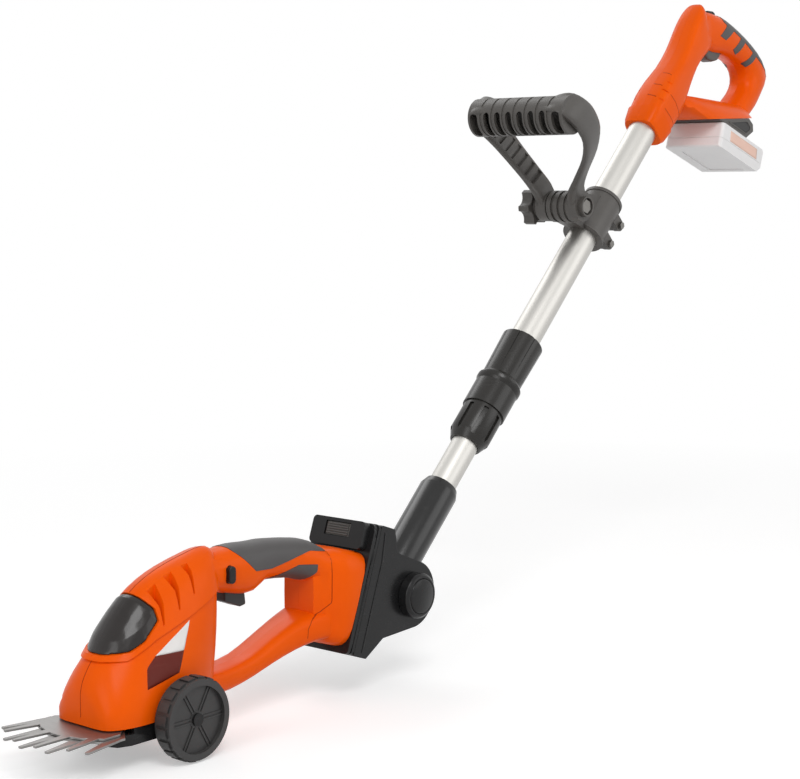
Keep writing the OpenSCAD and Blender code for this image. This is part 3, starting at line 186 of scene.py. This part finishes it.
def moulding(name, dark, light, rough, fine=grainSet["fine"], depth=0.000012, marks=0.06,
             rubTone=(0.5, 0.5, 0.5), dust=0.0, coat=0.0, spec=0.5):
    m = bpy.data.materials.new(name)
    m.use_nodes = True
    t = m.node_tree
    b = t.nodes["Principled BSDF"]
    b.inputs["Specular IOR Level"].default_value = spec
    b.inputs["Coat Weight"].default_value = coat
    b.inputs["Coat Roughness"].default_value = mouldSet["coatRough"]
    g = place(t, grainGroup, Fine=fine)
    k = place(t, marksGroup, Amount=marks)
    d = place(t, dustGroup, Amount=dust)
    tone = addNode(t, "ShaderNodeMapRange",
                   {"From Min": mouldSet["toneStart"], "From Max": mouldSet["toneFull"]})
    two = mixTone(t, dark, light)
    rub = mixTone(t, b=rubTone)
    dusty = mixTone(t, b=dustSet["tone"])
    up = addNode(t, "ShaderNodeMapRange", {"To Min": rough, "To Max": min(rough + mouldSet["rubRough"], 1.0)})
    bump = addNode(t, "ShaderNodeBump", {"Strength": mouldSet["bump"], "Distance": depth})
    t.links.new(g.outputs["Tone"], tone.inputs["Value"])
    t.links.new(tone.outputs["Result"], two.inputs["Factor"])
    t.links.new(two.outputs["Result"], rub.inputs["A"])
    t.links.new(k.outputs["Mask"], rub.inputs["Factor"])
    t.links.new(rub.outputs["Result"], dusty.inputs["A"])
    t.links.new(d.outputs["Mask"], dusty.inputs["Factor"])
    t.links.new(dusty.outputs["Result"], b.inputs["Base Color"])
    t.links.new(k.outputs["Mask"], up.inputs["Value"])
    t.links.new(up.outputs["Result"], b.inputs["Roughness"])
    t.links.new(g.outputs["Height"], bump.inputs["Height"])
    t.links.new(bump.outputs["Normal"], b.inputs["Normal"])
    return m


# metal: colour varied by drawn lines, roughness raised by rubs, bump from the lines
metalSet = dict(rubRough=0.2, bump=0.5)


def metal(name, dark, light, rough, grain, turn=drawnSet["turn"], depth=0.000004, marks=0.2):
    m = bpy.data.materials.new(name)
    m.use_nodes = True
    t = m.node_tree
    b = t.nodes["Principled BSDF"]
    b.inputs["Metallic"].default_value = 1.0
    d = place(t, drawnGroup, Grain=grain, Turn=turn)
    k = place(t, marksGroup, Amount=marks)
    two = mixTone(t, dark, light)
    up = addNode(t, "ShaderNodeMapRange", {"To Min": rough, "To Max": min(rough + metalSet["rubRough"], 1.0)})
    bump = addNode(t, "ShaderNodeBump", {"Strength": metalSet["bump"], "Distance": depth})
    t.links.new(d.outputs["Height"], two.inputs["Factor"])
    t.links.new(two.outputs["Result"], b.inputs["Base Color"])
    t.links.new(k.outputs["Mask"], up.inputs["Value"])
    t.links.new(up.outputs["Result"], b.inputs["Roughness"])
    t.links.new(d.outputs["Height"], bump.inputs["Height"])
    t.links.new(bump.outputs["Normal"], b.inputs["Normal"])
    return m


# finishes by slot: dark tone, light tone, roughness, for a metal its grain's lengths and turn, and what
# differs from the defaults above
paleRub, orangeRub = (0.16, 0.155, 0.15), (0.9, 0.3, 0.1)
poleLean = math.pi / 4  # the pole stands at 45 degrees, and its tube is drawn along it
lookOf = {
    "orange": moulding("orangeMoulding", (0.82, 0.094, 0.0005), (0.87, 0.106, 0.001), 0.3,
                       marks=0.02, rubTone=orangeRub, spec=0.09),
    "black": moulding("blackMoulding", (0.0085, 0.0085, 0.009), (0.0125, 0.0125, 0.013), 0.26,
                      depth=0.000006, rubTone=paleRub, dust=0.015, spec=0.24),
    "grip": moulding("softGrip", (0.052, 0.049, 0.049), (0.062, 0.058, 0.058), 0.52,
                     fine=1500.0, depth=0.00007, rubTone=paleRub, dust=0.05),
    "grey": moulding("charcoalMoulding", (0.056, 0.051, 0.046), (0.074, 0.068, 0.062), 0.45,
                     rubTone=paleRub, dust=0.06),
    "window": moulding("noseWindow", (0.014, 0.011, 0.010), (0.022, 0.018, 0.017), 0.24,
                       depth=0.000002, marks=0.01, coat=0.1, spec=0.3),
    "steel": metal("groundSteel", (0.22, 0.213, 0.208), (0.32, 0.312, 0.305), 0.42, (0.0011, 0.017, 0.0011)),
    "tube": metal("drawnTube", (0.52, 0.508, 0.482), (0.56, 0.548, 0.52), 0.46, (0.09, 0.0022, 0.0022),
                  (0, -poleLean, 0), depth=0.000001, marks=0.08),
    "zinc": metal("zincPlate", (0.17, 0.165, 0.155), (0.25, 0.24, 0.225), 0.36, (0.0033, 0.0033, 0.0033)),
    "pack": moulding("packMoulding", (0.76, 0.75, 0.75), (0.81, 0.80, 0.80), 0.45, rubTone=(0.8, 0.8, 0.8)),
    "nylon": moulding("plainNylon", (0.62, 0.61, 0.57), (0.68, 0.67, 0.63), 0.5),
    "tyre": moulding("wheelMoulding", (0.022, 0.021, 0.021), (0.03, 0.029, 0.029), 0.5,
                     rubTone=paleRub, dust=0.1),
}
# nodes whose finish differs a little from the rest of their slot
satin = moulding("satinSleeve", (0.010, 0.009, 0.0078), (0.016, 0.0145, 0.0125), 0.27,
                 depth=0.000006, rubTone=paleRub, dust=0.02, spec=0.36)
nodeLook = {
    "lock_sleeve": satin,
    "lock_nut": satin,
    "pole_socket": moulding("socketMoulding", (0.006, 0.006, 0.006), (0.009, 0.009, 0.009), 0.25,
                            depth=0.000006, rubTone=paleRub, spec=0.42),
    "trigger": moulding("triggerMoulding", (0.018, 0.017, 0.017), (0.025, 0.024, 0.024), 0.4,
                        rubTone=paleRub, spec=0.3),
}
slotOf = {p["node"]: p["material_slot"] for p in frame["record"]["subparts"]}
bodyOf = {n: b for b, ns in frame["record"]["behaviour"]["bodies"].items() for n in ns}
finishOf = {name: nodeLook.get(name, lookOf[slotOf[name]]) for name in cad}
for name, obj in cad.items():
    obj.data.materials.clear()
    obj.data.materials.append(finishOf[name])
print("materials set")


def addPiece(name, mesh, body, look):
    mesh.materials.clear()
    mesh.materials.append(look)
    obj = bpy.data.objects.new(name, mesh)
    scene.collection.objects.link(obj)
    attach(obj, body)
    return obj


# skin of a CAD node: its triangles merged, creases above an angle kept, and where an edge is asked for,
# flat triangles joined and the creases rounded
skinSet = dict(merge=4e-6, flat=math.radians(0.4), crease=math.radians(32), steps=2)


def skin(name, edge=0.0):
    mesh = cad[name].data.copy()
    for extra in ("custom_normal", "sharp_edge"):
        if extra in mesh.attributes:
            mesh.attributes.remove(mesh.attributes[extra])
    bm = bmesh.new()
    bm.from_mesh(mesh)
    bmesh.ops.remove_doubles(bm, verts=bm.verts, dist=skinSet["merge"])
    if edge:
        bmesh.ops.dissolve_limit(bm, angle_limit=skinSet["flat"], verts=bm.verts, edges=bm.edges)
    bm.to_mesh(mesh)
    bm.free()
    mesh.polygons.foreach_set("use_smooth", np.ones(len(mesh.polygons), bool))
    mesh.set_sharp_from_angle(angle=skinSet["crease"])
    obj = addPiece(name + ".skin", mesh, bodyOf[name], finishOf[name])
    if edge:
        bevel = obj.modifiers.new("edges", "BEVEL")
        bevel.width = edge
        bevel.segments = skinSet["steps"]
        bevel.limit_method = "ANGLE"
        bevel.angle_limit = skinSet["crease"]
        bevel.harden_normals = True
    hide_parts(name)
    return obj


# nodes whose lofted skins only need smoothing, then those with moulded or ground edges, in metres
smoothed = ["housing_left", "housing_right", "top_grip", "under_grip", "rear_handle_left",
            "rear_handle_right", "grip_insert", "loop_handle"]
edgeOf = dict(
    fixed_blade=0.0003, moving_blade=0.0003, adapter_front=0.0004, adapter_rear=0.001, release_button=0.0004,
    base_plate=0.001, axle_bracket=0.001, wheel_left=0.0005, wheel_right=0.0005, trigger=0.0015,
    lock_off=0.001, pivot_rings=0.0008, pivot_button_left=0.0008, pivot_button_right=0.0008,
    pole_socket=0.001, lock_sleeve=0.0005, lock_nut=0.0008, clamp_front=0.0008, clamp_rear=0.0008,
    star_knob=0.0012, rear_trigger=0.003, rear_lock_off=0.0012, battery_rail=0.0012, battery_case=0.0012,
    battery_base=0.0012, battery_button=0.0004, hinge_bolt=0.0004, clamp_screws=0.0003, glide_plug=0.0005)
for name in smoothed:
    skin(name)
for name, width in edgeOf.items():
    skin(name, width)
print("skins made:", len(smoothed) + len(edgeOf))

# nose window with a bevelled rim: the node's form in even squares, eased, each place raised along its normal
# by the rise times its distance from the cut line over the rim's width there, at most the whole rise; the cut
# line is in metres from the axle, with one rim width for each of its stretches
windowSet = dict(square=0.0008, ease=0.5, passes=16, rise=0.0014,
                 rim=[0.008, 0.008, 0.008, 0.0065, 0.005, 0.005, 0.005, 0.005],
                 cut=[(-0.0880, 0.0871), (-0.0540, 0.0859), (-0.0389, 0.0880), (-0.0260, 0.0939),
                      (-0.0109, 0.1072), (-0.0109, 0.1160), (-0.0170, 0.1240), (-0.0239, 0.1319),
                      (-0.0880, 0.1496)])


# the mesh as its modifiers leave it, which are then taken off
def evaluatedMesh(obj):
    bpy.context.view_layer.update()
    mesh = bpy.data.meshes.new_from_object(obj.evaluated_get(bpy.context.evaluated_depsgraph_get()))
    obj.modifiers.clear()
    return mesh


def raisedWindow():
    obj = skin("nose_window")
    even = obj.modifiers.new("even", "REMESH")
    even.mode = "VOXEL"
    even.voxel_size = windowSet["square"]
    ease = obj.modifiers.new("ease", "SMOOTH")
    ease.factor = windowSet["ease"]
    ease.iterations = windowSet["passes"]
    mesh = evaluatedMesh(obj)
    n = len(mesh.vertices)
    spots, out = np.empty(n * 3, np.float32), np.empty(n * 3, np.float32)
    mesh.vertices.foreach_get("co", spots)
    mesh.vertex_normals.foreach_get("vector", out)
    spots, out = spots.reshape(-1, 3), out.reshape(-1, 3)
    line = np.array(windowSet["cut"]) - (shot["shift"], 0)
    start, run = line[:-1], np.diff(line, axis=0)
    offStart = spots[:, None, [0, 2]] - start
    t = np.clip((offStart * run).sum(-1) / (run ** 2).sum(-1), 0, 1)
    away = np.linalg.norm(offStart - t[..., None] * run, axis=-1)
    share = np.clip(away / np.array(windowSet["rim"]), 0, 1).min(1)
    spots += out * (windowSet["rise"] * share)[:, None]
    mesh.vertices.foreach_set("co", spots.ravel())
    mesh.polygons.foreach_set("use_smooth", np.ones(len(mesh.polygons), bool))
    mesh.update()
    obj.data = mesh


raisedWindow()
print("window set")


# patch between two edges: each edge is a line of points, a place is the mix of the two at the same share
def patchMesh(name, left, right, across, along, lowShare=0.0, highShare=1.0):
    u, v = np.meshgrid(np.linspace(0, 1, across), np.linspace(lowShare, highShare, along))
    sides = []
    for edge in (np.array(left), np.array(right)):
        t = np.linspace(0, 1, len(edge))
        sides.append(np.stack([np.interp(v, t, edge[:, i]) for i in range(3)], -1))
    spots = sides[0] * (1 - u)[..., None] + sides[1] * u[..., None]
    a = (np.arange(along - 1)[:, None] * across + np.arange(across - 1)[None, :]).ravel()
    quads = np.stack([a, a + 1, a + across + 1, a + across], -1)
    mesh = bpy.data.meshes.new(name)
    mesh.from_pydata(spots.reshape(-1, 3), [], quads)
    mesh.polygons.foreach_set("use_smooth", np.ones(len(mesh.polygons), bool))
    return mesh


# sticker: a patch pressed on to a node's skin along one direction, its faces turned outwards, with a wall
# down into the skin, a little deeper than the patch stands proud
nearSide, topSide, frontSide = (0, -1, 0), (0, 0, 1), (-1, 0, 0)
wallDepth = 1.3


def sticker(mesh, node, look, out, proud):
    obj = addPiece(mesh.name, mesh, bodyOf[node], look)
    wrap = obj.modifiers.new("press", "SHRINKWRAP")
    wrap.target = bpy.data.objects[node + ".skin"]
    wrap.wrap_method = "PROJECT"
    wrap.use_project_x, wrap.use_project_y, wrap.use_project_z = [bool(v) for v in out]
    wrap.use_negative_direction = True
    wrap.use_positive_direction = True
    wrap.wrap_mode = "ABOVE_SURFACE"
    wrap.offset = proud
    pressed = evaluatedMesh(obj)
    facing = np.empty(len(pressed.polygons) * 3, np.float32)
    pressed.polygons.foreach_get("normal", facing)
    if (facing.reshape(-1, 3) @ np.array(out, np.float32)).sum() < 0:
        pressed.flip_normals()
    obj.data = pressed
    wall = obj.modifiers.new("wall", "SOLIDIFY")
    wall.thickness = proud * wallDepth
    wall.offset = -1
    return obj


# points (x, z) in metres from the wheel axle, set at one distance to the side, in the frame
def sideLine(points, side):
    return [(x - shot["shift"], side, z) for x, z in points]


# bare two-tone side label on the hood, red below and white above; each half has its count of points across and
# along, and the share of the edges that it starts and ends at
labelSet = dict(side=-0.055, proud=0.00025, upper=(14, 18, 0.5, 0.99), lower=(18, 14, 0.0, 0.5),
                front=[(-0.0336, 0.060), (-0.0300, 0.075), (-0.0204, 0.0827), (-0.002, 0.0932),
                       (0.0165, 0.1035)],
                rear=[(-0.0009, 0.0667), (0.0030, 0.0747), (0.0066, 0.0824), (0.0118, 0.093),
                      (0.0170, 0.1040)])
labelWhite = moulding("labelWhite", (0.72, 0.70, 0.68), (0.78, 0.76, 0.74), 0.3, depth=0.000004, marks=0.04)
labelRed = moulding("labelRed", (0.115, 0.013, 0.008), (0.135, 0.017, 0.010), 0.35,
                    depth=0.000004, marks=0.04, rubTone=(0.4, 0.2, 0.15), spec=0.15)
labelEdges = [sideLine(labelSet[edge], labelSet["side"]) for edge in ("front", "rear")]
for name, grid, look in (("labelUpper", "upper", labelWhite), ("labelLower", "lower", labelRed)):
    labelMesh = patchMesh(name, *labelEdges, *labelSet[grid])
    sticker(labelMesh, "housing_left", look, nearSide, labelSet["proud"])
print("label set")

# moulded parting and panel lines and grooves, drawn in painted shade as thin strips of darker orange: points
# at even steps along a path, each set off to both sides by half the width, square to the path's run and to the
# press direction
lineSet = dict(wide=0.0006, proud=0.00012, step=0.0025, across=2)
# painted shade: the darker orange stands for the shadow inside a seam or groove
seamShadeLook = moulding("seamShadeLine", (0.36, 0.034, 0.0004), (0.42, 0.042, 0.0006), 0.5,
                    marks=0.02, rubTone=orangeRub, spec=0.1)


def lineMesh(name, path, out, wide, across):
    p = np.array(path, float)
    reach = np.r_[0, np.cumsum(np.linalg.norm(np.diff(p, axis=0), axis=1))]
    t = np.linspace(0, reach[-1], max(int(reach[-1] / lineSet["step"]), 2) + 1)
    p = np.stack([np.interp(t, reach, p[:, i]) for i in range(3)], -1)
    side = np.cross(np.gradient(p, axis=0), np.array(out, float))
    side *= 0.5 * wide / np.linalg.norm(side, axis=1)[:, None]
    return patchMesh(name, p - side, p + side, across, len(p))


# a seam or groove drawn as a strip in painted shade, pressed on to a node
def seamShadeLine(name, path, out, node):
    mesh = lineMesh(name, path, out, lineSet["wide"], lineSet["across"])
    sticker(mesh, node, seamShadeLook, out, lineSet["proud"])


# raised rib: a wider line that stands higher, with rounded edges
ribSet = dict(wide=0.0014, proud=0.0006, across=3, edge=0.0003, steps=2)


def raisedRib(name, path, out, node):
    mesh = lineMesh(name, path, out, ribSet["wide"], ribSet["across"])
    obj = sticker(mesh, node, lookOf[slotOf[node]], out, ribSet["proud"])
    bevel = obj.modifiers.new("edges", "BEVEL")
    bevel.width = ribSet["edge"]
    bevel.segments = ribSet["steps"]
    bevel.limit_method = "ANGLE"


# lines of the housing in painted shade: along the hood's ridge and down the nose, just left of the middle, and
# round the dock
seam = -0.0006
hoodLines = dict(ridge=[(-0.024, 0.16), (0.0, 0.16), (0.03, 0.16), (0.058, 0.16)],
                 nose=[(-0.09, 0.082), (-0.09, 0.06), (-0.09, 0.040)],
                 dockSide=-0.05,
                 dock=[(0.1864, 0.1322), (0.1856, 0.1123), (0.1842, 0.0873), (0.176, 0.0800),
                       (0.1655, 0.0745), (0.1607, 0.0680), (0.160, 0.0600)])
seamShadeLine("hoodParting", sideLine(hoodLines["ridge"], seam), topSide, "housing_left")
seamShadeLine("dockPanelLine", sideLine(hoodLines["dock"], hoodLines["dockSide"]), nearSide, "housing_left")
seamShadeLine("noseParting", sideLine(hoodLines["nose"], seam), frontSide, "housing_left")

# lines of the rear column in painted shade: ticks on its upper front, as (along the pole, side), and two
# near-side sweeps
columnSet = dict(
    pivot=(0.281, 0.079), over=0.0185, sweepSide=-0.03,
    ticks=dict(columnTickUpper=[(0.661, -0.0026), (0.659, -0.0142)],
               columnTickMiddle=[(0.640, -0.0006), (0.638, -0.0120)],
               columnTickLower=[(0.624, -0.0006), (0.622, -0.0116)]),
    sweeps=dict(columnSweepUpper=[(0.7224, 0.5371), (0.7316, 0.5296), (0.7383, 0.5204), (0.7396, 0.5164)],
                columnSweepLower=[(0.7116, 0.5222), (0.7205, 0.5152), (0.7284, 0.5081), (0.731, 0.5027)]))


# a place over the column's upper front: from the pole's pivot along the pole, then square to it, up and
# forwards
def columnSpot(along, side):
    (x, z), over, c = columnSet["pivot"], columnSet["over"], math.cos(poleLean)
    return (x + (along - over) * c - shot["shift"], side, z + (along + over) * c)


for name, ends in columnSet["ticks"].items():
    seamShadeLine(name, [columnSpot(*end) for end in ends], topSide, "rear_handle_left")
for name, points in columnSet["sweeps"].items():
    seamShadeLine(name, sideLine(points, columnSet["sweepSide"]), nearSide, "rear_handle_left")

# ribs on the adapter's near side
adapterRibs = dict(side=-0.045, front=[(0.1995, 0.0460), (0.2250, 0.1134), (0.2325, 0.1405)],
                   cheek=[(0.2125, 0.0395), (0.2393, 0.1142), (0.2440, 0.1405)])
raisedRib("adapterFrontRib", sideLine(adapterRibs["front"], adapterRibs["side"]), nearSide, "adapter_front")
raisedRib("adapterCheekRib", sideLine(adapterRibs["cheek"], adapterRibs["side"]), nearSide, "adapter_rear")
print("lines and ribs set")

# pocket in the rail's near side: a floor in painted shade, the dark trigger finish standing for the shadow in
# the recess, inside a raised frame
pocketSet = dict(side=-0.045, start=0.03, across=6, along=24,
                 low=[(0.8225, 0.5109), (0.8596, 0.4993), (0.8691, 0.5033)],
                 high=[(0.8225, 0.5109), (0.8613, 0.5131), (0.8689, 0.5074)])
lowEdge, highEdge = [sideLine(pocketSet[edge], pocketSet["side"]) for edge in ("low", "high")]
pocketMesh = patchMesh("railPocket", lowEdge, highEdge,
                       pocketSet["across"], pocketSet["along"], pocketSet["start"])
sticker(pocketMesh, "battery_rail", nodeLook["trigger"], nearSide, lineSet["proud"])
raisedRib("railPocketFrame", lowEdge + highEdge[::-1], nearSide, "battery_rail")

# bare pale patch on the battery's near side: its ends along the pack, its edges down from the pack's top edge
packPatch = dict(top=(0.8090, 0.5110), lean=math.radians(18), side=-0.045, proud=0.0002, across=20, along=6,
                 ends=(0.017, 0.078), upper=-0.0045, lower=-0.0158, skew=0.002)


# a place on the pack: from its top corner along its lean, then square to that
def packSpot(along, down):
    (x, z), c, s = packPatch["top"], math.cos(packPatch["lean"]), math.sin(packPatch["lean"])
    return (x - shot["shift"] + along * c + down * s, packPatch["side"], z - along * s + down * c)


patchEdges = [[packSpot(end + packPatch["skew"], packPatch["lower"]), packSpot(end, packPatch["upper"])]
              for end in packPatch["ends"]]
patchTone = moulding("packPatch", (0.78, 0.5, 0.4), (0.82, 0.55, 0.45), 0.4,
                     depth=0.000004, marks=0.04, rubTone=(0.8, 0.7, 0.65))
packMesh = patchMesh("packPatch", *patchEdges, packPatch["across"], packPatch["along"])
sticker(packMesh, "battery_case", patchTone, nearSide, packPatch["proud"])
print("pocket and patch set")

# pale floor, white for the camera away from the object, and a white studio
stageSet = dict(size=12.0, drop=0.0005, tone=0.78, rough=0.9, lift=0.38, near=0.7, far=1.5, world=0.42)
floorMesh = bpy.data.meshes.new("paleFloor")
h = stageSet["size"]
floorMesh.from_pydata([(-h, -h, 0), (h, -h, 0), (h, h, 0), (-h, h, 0)], [], [(0, 1, 2, 3)])
floor = bpy.data.objects.new("paleFloor", floorMesh)
scene.collection.objects.link(floor)
floor.location.z = -stageSet["drop"]


# 1 for what the camera sees itself, in a reflection or through glass, and 0 for the light on the object
def seenDirectly(tree):
    path = addNode(tree, "ShaderNodeLightPath")
    glossy = addNode(tree, "ShaderNodeMath", operation="MAXIMUM")
    through = addNode(tree, "ShaderNodeMath", operation="MAXIMUM")
    tree.links.new(path.outputs["Is Camera Ray"], glossy.inputs[0])
    tree.links.new(path.outputs["Is Glossy Ray"], glossy.inputs[1])
    tree.links.new(glossy.outputs["Value"], through.inputs[0])
    tree.links.new(path.outputs["Is Transmission Ray"], through.inputs[1])
    return through.outputs["Value"]


# floor: matt and lifted a little near the object, where it keeps the shadow, fading to white further away
def paleFloorLook():
    m = bpy.data.materials.new("paleFloor")
    m.use_nodes = True
    t = m.node_tree
    b = t.nodes["Principled BSDF"]
    b.inputs["Base Color"].default_value = (stageSet["tone"], stageSet["tone"], stageSet["tone"], 1)
    b.inputs["Roughness"].default_value = stageSet["rough"]
    b.inputs["Specular IOR Level"].default_value = 0.0
    lift = addNode(t, "ShaderNodeEmission", {"Strength": stageSet["lift"]})
    lit = addNode(t, "ShaderNodeAddShader")
    white = addNode(t, "ShaderNodeEmission", {"Strength": 1.0})
    co = addNode(t, "ShaderNodeTexCoord")
    away = addNode(t, "ShaderNodeVectorMath", operation="LENGTH")
    ramp = addNode(t, "ShaderNodeMapRange", {"From Min": stageSet["near"], "From Max": stageSet["far"]})
    fade = addNode(t, "ShaderNodeMixShader")
    seen = addNode(t, "ShaderNodeMixShader")
    t.links.new(b.outputs["BSDF"], lit.inputs[0])
    t.links.new(lift.outputs["Emission"], lit.inputs[1])
    t.links.new(co.outputs["Object"], away.inputs[0])
    t.links.new(away.outputs["Value"], ramp.inputs["Value"])
    t.links.new(ramp.outputs["Result"], fade.inputs["Fac"])
    t.links.new(lit.outputs["Shader"], fade.inputs[1])
    t.links.new(white.outputs["Emission"], fade.inputs[2])
    t.links.new(seenDirectly(t), seen.inputs["Fac"])
    t.links.new(b.outputs["BSDF"], seen.inputs[1])
    t.links.new(fade.outputs["Shader"], seen.inputs[2])
    t.links.new(seen.outputs["Shader"], t.nodes["Material Output"].inputs["Surface"])
    return m


floorMesh.materials.append(paleFloorLook())
world = bpy.data.worlds.new("studio")
scene.world = world
world.use_nodes = True
wt = world.node_tree
soft = wt.nodes["Background"]
soft.inputs["Color"].default_value = (1, 1, 1, 1)
soft.inputs["Strength"].default_value = stageSet["world"]
white = addNode(wt, "ShaderNodeBackground", {"Color": (1, 1, 1, 1), "Strength": 1.0})
mixer = addNode(wt, "ShaderNodeMixShader")
wt.links.new(seenDirectly(wt), mixer.inputs["Fac"])
wt.links.new(soft.outputs["Background"], mixer.inputs[1])
wt.links.new(white.outputs["Background"], mixer.inputs[2])
wt.links.new(mixer.outputs["Shader"], wt.nodes["World Output"].inputs["Surface"])

# soft round lamps: place, aim, width in metres, watts
lampSet = dict(keyLamp=((-1.3, -1.6, 2.2), (0, 0, 0.2), 1.3, 30),
               noseLamp=((-2.3, -0.5, 0.9), (-0.35, 0, 0.1), 1.2, 9),
               fillLamp=((1.0, -2.0, 1.0), (0, 0, 0.3), 1.6, 9),
               backLamp=((0.6, 1.8, 2.0), (0, 0, 0.3), 1.4, 12))


def softLamp(name, spot, aim, size, power):
    data = bpy.data.lights.new(name, "AREA")
    data.shape = "DISK"
    data.size = size
    data.energy = power
    lamp = bpy.data.objects.new(name, data)
    scene.collection.objects.link(lamp)
    lamp.location = spot
    d = np.array(aim, float) - np.array(spot, float)
    lamp.rotation_euler = (math.atan2(math.hypot(d[0], d[1]), -d[2]), 0, math.atan2(d[1], d[0]) - math.pi / 2)


for name, values in lampSet.items():
    softLamp(name, *values)
scene.view_settings.view_transform = "Standard"
print("stage and lamps set")
